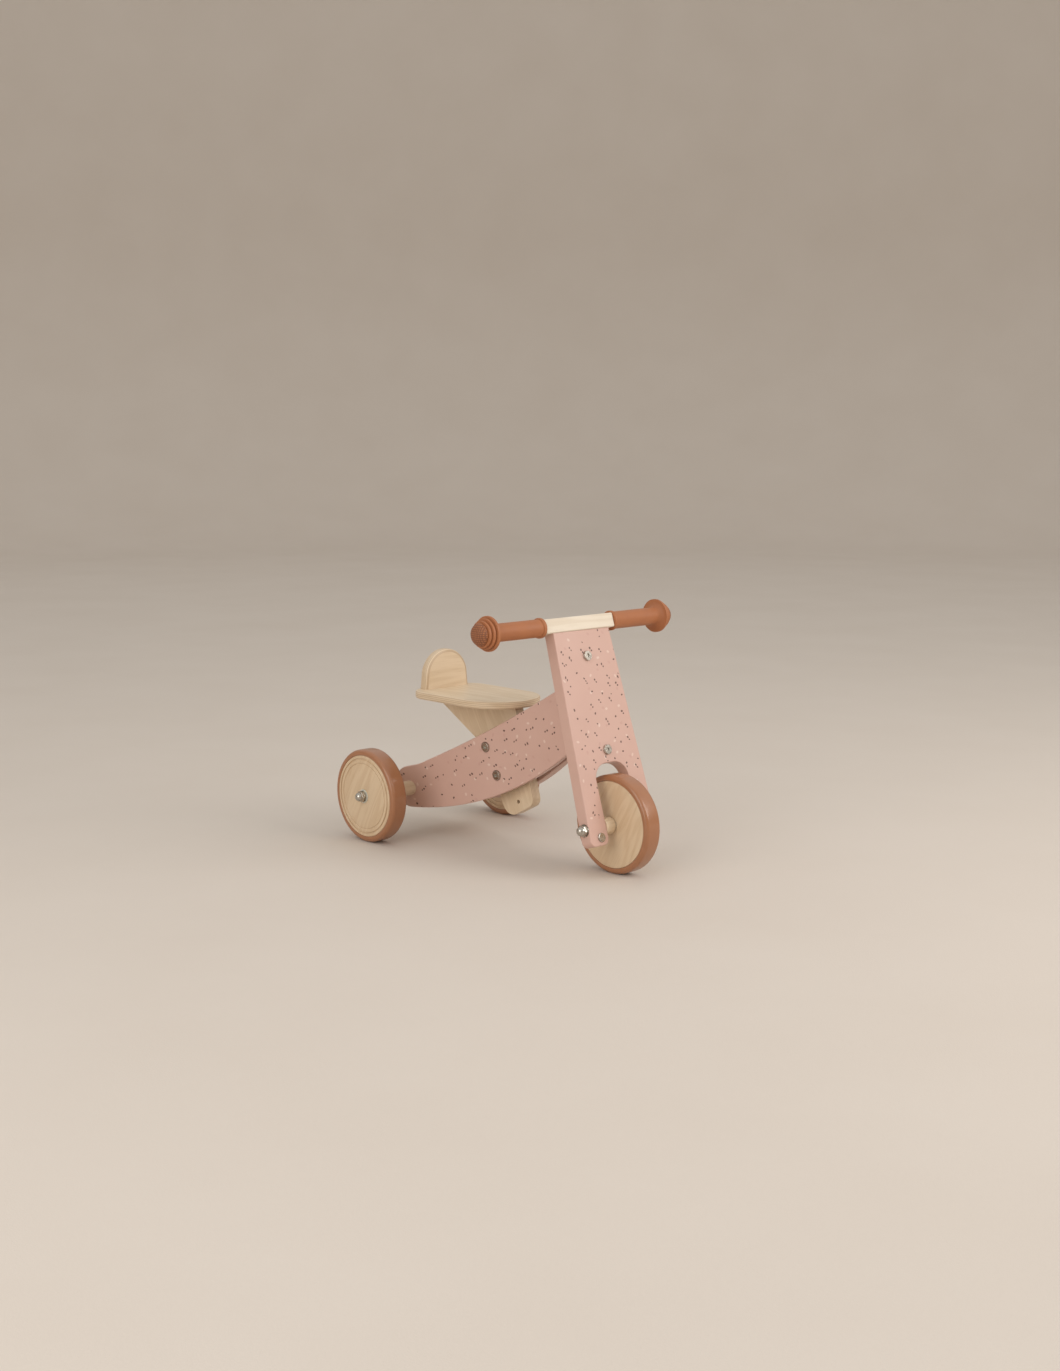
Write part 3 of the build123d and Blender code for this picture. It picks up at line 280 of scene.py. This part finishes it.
def rubberMaterial(name, look, gridFrom=None):
    material, tree, shader = startMaterial(name, {"IOR": 1.52, "Coat Weight": look["coat"],
                                                  "Coat Roughness": look["coatRoughness"]})
    object3d = addNode(tree, "ShaderNodeTexCoord")
    place = addNode(tree, "ShaderNodeVectorMath", {"operation": "SCALE"},
                    {0: object3d.outputs["Object"], "Scale": 1 / mm})
    cloud = addNode(tree, "ShaderNodeTexNoise", {},
                    {"Vector": place, "Scale": 1 / look["bloomSize"], "Detail": 4.0, "Roughness": 0.6})
    pores = addNode(tree, "ShaderNodeTexNoise", {},
                    {"Vector": place, "Scale": 1 / look["poreSize"], "Detail": 2.0, "Roughness": 0.55})
    colour = addNode(tree, "ShaderNodeMixRGB", {},
                     {"Fac": cloud.outputs[0], "Color1": toLinear(look["colour"]),
                      "Color2": toLinear(look["bloom"])})
    gloss = addNode(tree, "ShaderNodeMapRange", {},
                    {"Value": cloud.outputs[0], "From Min": 0.3, "From Max": 0.7,
                     "To Min": look["roughness"] - 0.06, "To Max": look["roughness"] + 0.1})
    height = pores
    depth = look["poreDepth"]
    if gridFrom is not None:
        parts = addNode(tree, "ShaderNodeSeparateXYZ", {}, {0: place})
        ridges = []
        for axis in (0, 2):
            saw = addNode(tree, "ShaderNodeMath", {"operation": "PINGPONG"},
                          {0: parts.outputs[axis], 1: domeGrid["pitch"] / 2})
            ridges.append(addNode(tree, "ShaderNodeMapRange", {"interpolation_type": "SMOOTHSTEP"},
                                  {"Value": saw, "From Min": 0.1, "From Max": domeGrid["pitch"] * 0.32}))
        block = addNode(tree, "ShaderNodeMath", {"operation": "MINIMUM"}, {0: ridges[0], 1: ridges[1]})
        side = addNode(tree, "ShaderNodeMath", {"operation": "ABSOLUTE"}, {0: parts.outputs[1]})
        onDome = addNode(tree, "ShaderNodeMath", {"operation": "GREATER_THAN"}, {0: side, 1: gridFrom})
        raised = addNode(tree, "ShaderNodeMath", {"operation": "MULTIPLY"}, {0: block, 1: onDome})
        height = addNode(tree, "ShaderNodeMath", {"operation": "MULTIPLY_ADD"},
                         {0: pores.outputs[0], 1: depth / domeGrid["depth"], 2: raised})
        depth = domeGrid["depth"]
        # Painted shade: the grooves between the raised checks are darkened towards domeGrid's dark rubber
        # colour
        groove = addNode(tree, "ShaderNodeMath", {"operation": "SUBTRACT"}, {0: onDome, 1: raised})
        shade = addNode(tree, "ShaderNodeMath", {"operation": "MULTIPLY"}, {0: groove, 1: domeGrid["shade"]})
        colour = addNode(tree, "ShaderNodeMixRGB", {},
                         {"Fac": shade, "Color1": colour, "Color2": toLinear(domeGrid["colour"])})
    finishShader(tree, shader, colour, gloss, height, depth * mm)
    return material


# Metals: nickel plate is bright with faint handling marks, zinc plate is greyer and cloudier
nickelLook = {"colour": "#cbc6bd", "dull": "#aaa59c", "roughness": 0.2, "clouds": 6.0, "scratch": 0.5}
zincLook = {"colour": "#b9bcbe", "dull": "#94979a", "roughness": 0.36, "clouds": 9.0, "scratch": 0.8}


def platedMetal(name, look):
    material, tree, shader = startMaterial(name, {"Metallic": 1.0})
    object3d = addNode(tree, "ShaderNodeTexCoord")
    place = addNode(tree, "ShaderNodeVectorMath", {"operation": "SCALE"},
                    {0: object3d.outputs["Object"], "Scale": 1 / mm})
    cloud = addNode(tree, "ShaderNodeTexNoise", {},
                    {"Vector": place, "Scale": 1 / look["clouds"], "Detail": 3.0})
    marks = addNode(tree, "ShaderNodeTexNoise", {},
                    {"Vector": place, "Scale": 1 / look["scratch"], "Detail": 2.0})
    colour = addNode(tree, "ShaderNodeMixRGB", {},
                     {"Fac": cloud.outputs[0], "Color1": toLinear(look["colour"]),
                      "Color2": toLinear(look["dull"])})
    gloss = addNode(tree, "ShaderNodeMapRange", {},
                    {"Value": cloud.outputs[0], "From Min": 0.3, "From Max": 0.7,
                     "To Min": look["roughness"] - 0.05, "To Max": look["roughness"] + 0.12})
    finishShader(tree, shader, colour, gloss, marks, 0.01 * mm)
    return material


# Natural moulded nylon: milky white, slightly waxy
nylonLook = {"colour": "#e4e0d4", "shade": "#d3cdbd", "roughness": 0.45}


def nylonMaterial(name, look):
    material, tree, shader = startMaterial(name, {"IOR": 1.53, "Subsurface Weight": 0.1})
    object3d = addNode(tree, "ShaderNodeTexCoord")
    place = addNode(tree, "ShaderNodeVectorMath", {"operation": "SCALE"},
                    {0: object3d.outputs["Object"], "Scale": 1 / mm})
    cloud = addNode(tree, "ShaderNodeTexNoise", {}, {"Vector": place, "Scale": 1 / 4, "Detail": 3.0})
    colour = addNode(tree, "ShaderNodeMixRGB", {},
                     {"Fac": cloud.outputs[0], "Color1": toLinear(look["colour"]),
                      "Color2": toLinear(look["shade"])})
    gloss = addNode(tree, "ShaderNodeMapRange", {},
                    {"Value": cloud.outputs[0], "To Min": look["roughness"],
                     "To Max": look["roughness"] + 0.12})
    finishShader(tree, shader, colour, gloss, cloud, 0.03 * mm)
    return material


pinkPrinted = paintedPly("printedLacquerOnPly", True)
pinkEdge = paintedPly("lacqueredPlyEdge", False)
birchVeneer = woodMaterial("lacqueredBirchVeneer", birchLook)
birchPlyEdge = plyEdgeMaterial("lacqueredBirchPlyEdge", birchLook)
birchDisc = woodMaterial("turnedBirch", turnedBirchLook, (0, radians(62), 0))
birchBlock = woodMaterial("sawnBirch", turnedBirchLook, (0, radians(20), 0))
birchRod = woodMaterial("turnedBirchRod", birchLook, (0, 0, radians(-90)))
beamWood = woodMaterial("oiledPaleWood", beamLook, (0, 0, radians(-90)))
gripRubber = rubberMaterial("mouldedGripRubber", gripLook, domeGrid["from"])
tyreRubber = rubberMaterial("mouldedTyreRubber", tyreLook)
nickelPlate = platedMetal("nickelPlatedSteel", nickelLook)
zincPlate = platedMetal("zincPlatedSteel", zincLook)
naturalNylon = nylonMaterial("mouldedNylon", nylonLook)
print("materials made")


def addPiece(shape, name, nodes, materials, sharpFrom=38):
    bmesh.ops.remove_doubles(shape, verts=shape.verts, dist=0.002 * mm)
    bmesh.ops.recalc_face_normals(shape, faces=shape.faces)
    mesh = bpy.data.meshes.new(name)
    shape.to_mesh(mesh)
    shape.free()
    for material in materials:
        mesh.materials.append(material)
    mesh.shade_smooth()
    mesh.set_sharp_from_angle(angle=radians(sharpFrom))
    piece = bpy.data.objects.new(name, mesh)
    scene.collection.objects.link(piece)
    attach(piece, bodyOf[nodes[0]])
    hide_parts(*nodes)
    return piece


# A node's mesh with its triangles merged and its flat areas made whole

def mergedCopy(node):
    shape = bmesh.new()
    shape.from_mesh(frame["nodes"][node].data)
    bmesh.ops.remove_doubles(shape, verts=shape.verts, dist=0.005 * mm)
    bmesh.ops.dissolve_limit(shape, angle_limit=radians(0.3), verts=shape.verts, edges=shape.edges)
    return shape


def evenShading(piece):
    normals = piece.modifiers.new("evenShading", "WEIGHTED_NORMAL")
    normals.keep_sharp = True
    normals.weight = 100


# Broad faces carry the first material and their own layout along and across the board;
# the rim carries the second, laid out round the edge and through the thickness

def addBoard(node, grain, faceMaterial, rimMaterial):
    shape = mergedCopy(node)
    normal = max(shape.faces, key=lambda f: f.calc_area()).normal.copy()
    along = (grain - normal * grain.dot(normal)).normalized()
    across = normal.cross(along)
    layout = shape.loops.layers.uv.new("board")
    for face in shape.faces:
        broad = abs(face.normal.dot(normal)) > broadFace
        face.material_index = 0 if broad else 1
        for loop in face.loops:
            place = loop.vert.co
            if broad:
                loop[layout].uv = (place.dot(along), place.dot(across))
            else:
                loop[layout].uv = (place.dot(along) + place.dot(across), place.dot(normal))
    piece = addPiece(shape, node + "_finished", [node], [faceMaterial, rimMaterial])
    evenShading(piece)
    return piece


upPanel = steeringAxis
forward = Vector((1, 0, 0))
sideways = Vector((0, 1, 0))
postTilt = radians(27.5)        # its row of holes from vertical
postAlong = Vector((sin(postTilt), 0, -cos(postTilt)))
broadFace = 0.9998              # cosine, to tell a board's broad faces from its rim

addBoard("fork_panel", upPanel, pinkPrinted, pinkEdge)
addBoard("frame_side_left", forward, pinkPrinted, pinkEdge)
addBoard("frame_side_right", forward, pinkPrinted, pinkEdge)
addBoard("seat_post", postAlong, birchVeneer, birchPlyEdge)
addBoard("seat_board", forward, birchVeneer, birchPlyEdge)
addBoard("backrest", sideways, birchVeneer, birchPlyEdge)
print("boards made")

# Sawn blocks and bolts: the same solids with their edges eased
easedEdges = {
    "handlebar": (0.0, "pale_beech", beamWood),
    "steering_lug_upper": (0.9, "birch", birchBlock),
    "steering_lug_lower": (0.9, "birch", birchBlock),
    "head_block": (0.8, "birch", birchBlock),
    "rear_cross_block": (0.8, "birch", birchRod),
    "post_guide_left": (0.6, "birch", birchBlock),
    "post_guide_right": (0.6, "birch", birchBlock),
    "seat_cleat_left": (0.5, "birch", birchBlock),
    "seat_cleat_right": (0.5, "birch", birchBlock),
    "rear_spacers": (0.0, "birch", birchRod),
    "fork_bolts": (0.35, "nickel", nickelPlate),
    "post_bolts": (0.35, "nickel", nickelPlate),
    "post_nuts": (0.35, "nickel", nickelPlate),
    "leg_screws": (0.0, "nickel", nickelPlate),
}


def addEased(node, width, material):
    piece = addPiece(mergedCopy(node), node + "_finished", [node], [material])
    if width:
        ease = piece.modifiers.new("easedEdges", "BEVEL")
        ease.width = width * mm
        ease.segments = 3
        ease.limit_method = "ANGLE"
        ease.angle_limit = radians(40)
        ease.use_clamp_overlap = False
        ease.harden_normals = False
    evenShading(piece)


for node, (width, slot, material) in easedEdges.items():
    addEased(node, width, material)
print("blocks and bolts made")


# A turned shape: corners are (distance along the axis, radius, rounding) in mm, spun about local X

def turnShape(corners, closed, steps=128):
    shape = bmesh.new()
    verts = [shape.verts.new((along * mm, radius * mm, 0)) for along, radius, rounding in corners]
    for first, second in zip(verts, verts[1:] + verts[:1] if closed else verts[1:]):
        shape.edges.new((first, second))
    roundings = sorted({rounding for along, radius, rounding in corners if rounding}, reverse=True)
    groups = [(r, [v for v, c in zip(verts, corners) if c[2] == r]) for r in roundings]
    for rounding, group in groups:
        bmesh.ops.bevel(shape, geom=group, offset=rounding * mm, segments=8 if rounding > 3 else 4,
                        profile=0.5, affect="VERTICES", material=-1)
    bmesh.ops.spin(shape, geom=shape.verts[:] + shape.edges[:], cent=(0, 0, 0), axis=(1, 0, 0),
                   angle=2 * pi, steps=steps, use_merge=True)
    bmesh.ops.remove_doubles(shape, verts=shape.verts, dist=0.002 * mm)
    return shape


# Local X is laid along +Y, or along -Y for the rider's right

def layAcross(shape, centre, side=1):
    quarter = Matrix.Rotation(side * pi / 2, 3, "Z")
    bmesh.ops.rotate(shape, verts=shape.verts, cent=(0, 0, 0), matrix=quarter)
    bmesh.ops.translate(shape, verts=shape.verts, vec=centre)
    return shape


def joinShapes(shapes):
    whole = bmesh.new()
    for shape in shapes:
        part = bpy.data.meshes.new("part")
        shape.to_mesh(part)
        shape.free()
        whole.from_mesh(part)
        bpy.data.meshes.remove(part)
    return whole


def middleOf(node):
    low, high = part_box(node)
    return (low + high) / 2


# Wheels: solid rubber tyre with round shoulders on a turned birch disc
wheel = {
    "halfWidth": 15.0, "radius": 75.0, "discRadius": 66.0, "shoulder": 6.0, "tyreLip": 1.2, "fit": 0.05,
    "bore": 7.55, "discEdge": 1.5, "grooveEdge": 0.3,
    "grooves": [(53.0, 1.6, 0.9), (60.0, 2.6, 1.8)],            # radius, width, depth; rear wheels only
}


def addWheel(disc, tyre, grooves):
    half = wheel["halfWidth"]
    inner = wheel["discRadius"] + wheel["fit"]
    ring = [
        (-half, inner, wheel["tyreLip"]), (-half, wheel["radius"], wheel["shoulder"]),
        (half, wheel["radius"], wheel["shoulder"]), (half, inner, wheel["tyreLip"]),
    ]
    addPiece(layAcross(turnShape(ring, True), middleOf(tyre)), tyre + "_finished", [tyre],
             [tyreRubber])
    face = [(half, wheel["bore"], 0.6)]
    for radius, width, depth in grooves:
        edge = wheel["grooveEdge"]
        face += [
            (half, radius - width / 2, edge), (half - depth, radius - width / 2, edge),
            (half - depth, radius + width / 2, edge), (half, radius + width / 2, edge),
        ]
    face.append((half, wheel["discRadius"], wheel["discEdge"]))
    outline = face + [(-along, radius, rounding) for along, radius, rounding in reversed(face)]
    addPiece(layAcross(turnShape(outline, True), middleOf(disc)), disc + "_finished", [disc],
             [birchDisc])


addWheel("front_wheel_disc", "front_tyre", [])
for side in ("left", "right"):
    addWheel("rear_wheel_disc_" + side, "rear_tyre_" + side, wheel["grooves"])
print("wheels made")

# Grips: collar, tube, bell, three stepped rings and a domed end
grip = {
    "bore": 9.9, "boreDepth": 106.0, "collar": 15.3, "collarLength": 6.0, "tube": 13.5, "flareLength": 9.0,
    "flange": 26.0, "flangeAt": 103.0, "ringStep": 5.6, "ringShrink": 3.1, "ringEdge": 0.7,
    "grooveWidth": 1.6, "grooveDepth": 1.8, "length": 130.8, "curveSteps": 14,
}


def addGrip(node, side):
    g = grip
    corners = [
        (g["boreDepth"], 0, 0), (g["boreDepth"], g["bore"], 0), (0, g["bore"], 0.4), (0, g["collar"], 1.4),
        (g["collarLength"], g["collar"], 1.2), (g["collarLength"], g["tube"], 0.5),
    ]
    flareFrom = g["flangeAt"] - g["flareLength"]
    for step in range(g["curveSteps"] + 1):
        turn = step / g["curveSteps"] * pi / 2
        corners.append((flareFrom + g["flareLength"] * sin(turn),
                        g["tube"] + (g["flange"] - g["tube"]) * (1 - cos(turn)), 0))
    along, radius = g["flangeAt"], g["flange"]
    for ring in range(3):
        neck = radius - g["ringShrink"]
        ringEnd = along + g["ringStep"] - g["grooveWidth"]
        if ring:
            corners.append((along, radius, g["ringEdge"]))
        corners += [
            (ringEnd, radius, g["ringEdge"]), (ringEnd, neck - g["grooveDepth"], 0.3),
            (along + g["ringStep"], neck - g["grooveDepth"], 0.3),
        ]
        along, radius = along + g["ringStep"], neck
    for step in range(g["curveSteps"] + 1):
        turn = step / g["curveSteps"] * pi / 2
        corners.append((along + (g["length"] - along) * sin(turn), radius * cos(turn), 0))
    low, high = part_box(node)
    start = low.y if side > 0 else high.y
    centre = Vector(((low.x + high.x) / 2, start, (low.z + high.z) / 2))
    addPiece(layAcross(turnShape(corners, True, 96), centre, side), node + "_finished", [node],
             [gripRubber], 50)


addGrip("grip_left", 1)
addGrip("grip_right", -1)
print("grips made")

# Domed cap nuts: a hexagon with eased corners under a round cap
capNut = {"flats": 16.0, "hexHeight": 5.0, "cap": 7.4, "ease": 0.7, "overlap": 1.0}


def addCapNuts(node):
    low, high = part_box(node)
    centre = (low + high) / 2
    shapes = []
    for side in (-1, 1):
        hexagon = bmesh.new()
        bmesh.ops.create_cone(hexagon, cap_ends=True, segments=6, radius1=capNut["flats"] / 3 ** 0.5 * mm,
                              radius2=capNut["flats"] / 3 ** 0.5 * mm, depth=capNut["hexHeight"] * mm)
        quarter = Matrix.Rotation(pi / 2, 3, "Y")
        bmesh.ops.rotate(hexagon, verts=hexagon.verts, cent=(0, 0, 0), matrix=quarter)
        bmesh.ops.translate(hexagon, verts=hexagon.verts, vec=(capNut["hexHeight"] / 2 * mm, 0, 0))
        bmesh.ops.bevel(hexagon, geom=hexagon.edges[:], offset=capNut["ease"] * mm, segments=3,
                        profile=0.5, affect="EDGES", material=-1)
        capFoot = capNut["hexHeight"] - capNut["overlap"]
        cap = [(capFoot, 0, 0), (capFoot, capNut["cap"], 0)]
        for step in range(17):
            turn = step / 16 * pi / 2
            cap.append((capNut["hexHeight"] + capNut["cap"] * sin(turn), capNut["cap"] * cos(turn), 0))
        both = joinShapes([hexagon, turnShape(cap, True, 64)])
        tip = high.y if side > 0 else low.y
        base = tip - side * (capNut["hexHeight"] + capNut["cap"]) * mm
        shapes.append(layAcross(both, Vector((centre.x, base, centre.z)), side))
    addPiece(joinShapes(shapes), node + "_finished", [node], [nickelPlate])


addCapNuts("front_axle_nuts")
addCapNuts("rear_axle_nuts")

# Front spacers between the wheel and the fork legs
spacer = {"radius": 13.0, "bore": 5.2, "edge": 1.5}


def addFrontSpacers(node):
    low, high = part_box(node)
    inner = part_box("front_bushes")[1].y + 0.3 * mm
    length = (high.y - inner) / mm
    shapes = []
    for side in (-1, 1):
        corners = [
            (0, spacer["bore"], 0.4), (0, spacer["radius"], spacer["edge"]),
            (length, spacer["radius"], spacer["edge"]), (length, spacer["bore"], 0.4),
        ]
        centre = Vector(((low.x + high.x) / 2, side * inner, (low.z + high.z) / 2))
        shapes.append(layAcross(turnShape(corners, True, 96), centre, side))
    addPiece(joinShapes(shapes), node + "_finished", [node], [birchRod])


addFrontSpacers("front_spacers")
print("nuts and spacers made")

# Small parts that stay as they are, with their own finishes
keptFinish = {
    "handlebar_dowels": birchBlock, "head_dowels": birchRod,
    "steering_shaft": zincPlate, "steering_stop_pin": zincPlate, "front_axle": zincPlate,
    "rear_axle": zincPlate, "seat_screws": zincPlate, "backrest_screws": zincPlate,
    "front_axle_washers": nickelPlate, "rear_axle_washers": nickelPlate,
    "thrust_washers": naturalNylon, "head_bushes": naturalNylon, "front_bushes": naturalNylon,
    "rear_bushes_left": naturalNylon, "rear_bushes_right": naturalNylon,
}
for node, material in keptFinish.items():
    mesh = frame["nodes"][node].data
    mesh.materials.clear()
    mesh.materials.append(material)
print("kept parts finished")

# Pale seamless floor that curves up into a wall all round
studio = {
    "floorRadius": 6.5, "curve": 1.8, "wallTop": 3.4,
    "floorColour": "#d8cfc5", "floorShade": "#d2c8bd",
}


def addFloor():
    material, tree, shader = startMaterial("palePaperFloor", {"IOR": 1.45})
    object3d = addNode(tree, "ShaderNodeTexCoord")
    place = object3d.outputs["Object"]
    cloud = addNode(tree, "ShaderNodeTexNoise", {}, {"Vector": place, "Scale": 3.0, "Detail": 4.0})
    tooth = addNode(tree, "ShaderNodeTexNoise", {}, {"Vector": place, "Scale": 400.0})
    colour = addNode(tree, "ShaderNodeMixRGB", {},
                     {"Fac": cloud.outputs[0], "Color1": toLinear(studio["floorColour"]),
                      "Color2": toLinear(studio["floorShade"])})
    gloss = addNode(tree, "ShaderNodeMapRange", {},
                    {"Value": cloud.outputs[0], "To Min": 0.7, "To Max": 0.85})
    finishShader(tree, shader, colour, gloss, tooth, 0.2 * mm)
    shape = bmesh.new()
    points = [(0, 0)]
    for step in range(17):
        turn = step / 16 * pi / 2
        points.append((studio["floorRadius"] + studio["curve"] * sin(turn),
                       studio["curve"] * (1 - cos(turn))))
    points.append((studio["floorRadius"] + studio["curve"], studio["wallTop"]))
    verts = [shape.verts.new((x, 0, z)) for x, z in points]
    for first, second in zip(verts, verts[1:]):
        shape.edges.new((first, second))
    bmesh.ops.spin(shape, geom=shape.verts[:] + shape.edges[:], cent=(0, 0, 0), axis=(0, 0, 1),
                   angle=2 * pi, steps=96, use_merge=True)
    bmesh.ops.remove_doubles(shape, verts=shape.verts, dist=mm)
    mesh = bpy.data.meshes.new("floor")
    shape.to_mesh(mesh)
    shape.free()
    mesh.materials.append(material)
    mesh.shade_smooth()
    floor = bpy.data.objects.new("floor", mesh)
    scene.collection.objects.link(floor)


addFloor()

# Soft light: a broad key from the front, a weaker fill from the rider's right, and one overhead
lights = {
    "key": {"place": (2.5, 1.1, 1.6), "size": 2.0, "watts": 40, "colour": "#fffaf6"},
    "fill": {"place": (0.6, -2.9, 1.3), "size": 2.4, "watts": 31, "colour": "#fffcf9"},
    "top": {"place": (-0.6, 0.4, 2.9), "size": 2.4, "watts": 3, "colour": "#fffcf9"},
}
lampTarget = Vector((0, 0, 0.15))
for name, light in lights.items():
    lamp = bpy.data.lights.new(name, "AREA")
    lamp.shape = "DISK"
    lamp.size = light["size"]
    lamp.energy = light["watts"]
    lamp.color = toLinear(light["colour"])[:3]
    holder = bpy.data.objects.new(name, lamp)
    holder.location = light["place"]
    aim = lampTarget - Vector(light["place"])
    holder.rotation_euler = aim.to_track_quat("-Z", "Y").to_euler()
    scene.collection.objects.link(holder)

room = {"colour": "#fcf9f5", "strength": 0.7}
world = bpy.data.worlds.new("room")
world.use_nodes = True
world.node_tree.nodes["Background"].inputs["Color"].default_value = toLinear(room["colour"])
world.node_tree.nodes["Background"].inputs["Strength"].default_value = room["strength"]
scene.world = world
scene.view_settings.view_transform = "Standard"

# Camera: low three-quarter view from the front on the rider's right
view = {"place": (1.9618, -1.8199, 0.6660), "yaw": 136.99, "pitch": -8.56, "lens": 45.36, "sensor": 36.0,
        "shift": (0.0007, -0.0011)}
cameraData = bpy.data.cameras.new("camera")
cameraData.lens = view["lens"]
cameraData.sensor_width = view["sensor"]
cameraData.shift_x, cameraData.shift_y = view["shift"]
camera = bpy.data.objects.new("camera", cameraData)
camera.location = view["place"]
camera.rotation_euler = (radians(90 + view["pitch"]), 0, radians(view["yaw"] - 90))
scene.collection.objects.link(camera)
scene.camera = camera
print("stage, lights and camera set")
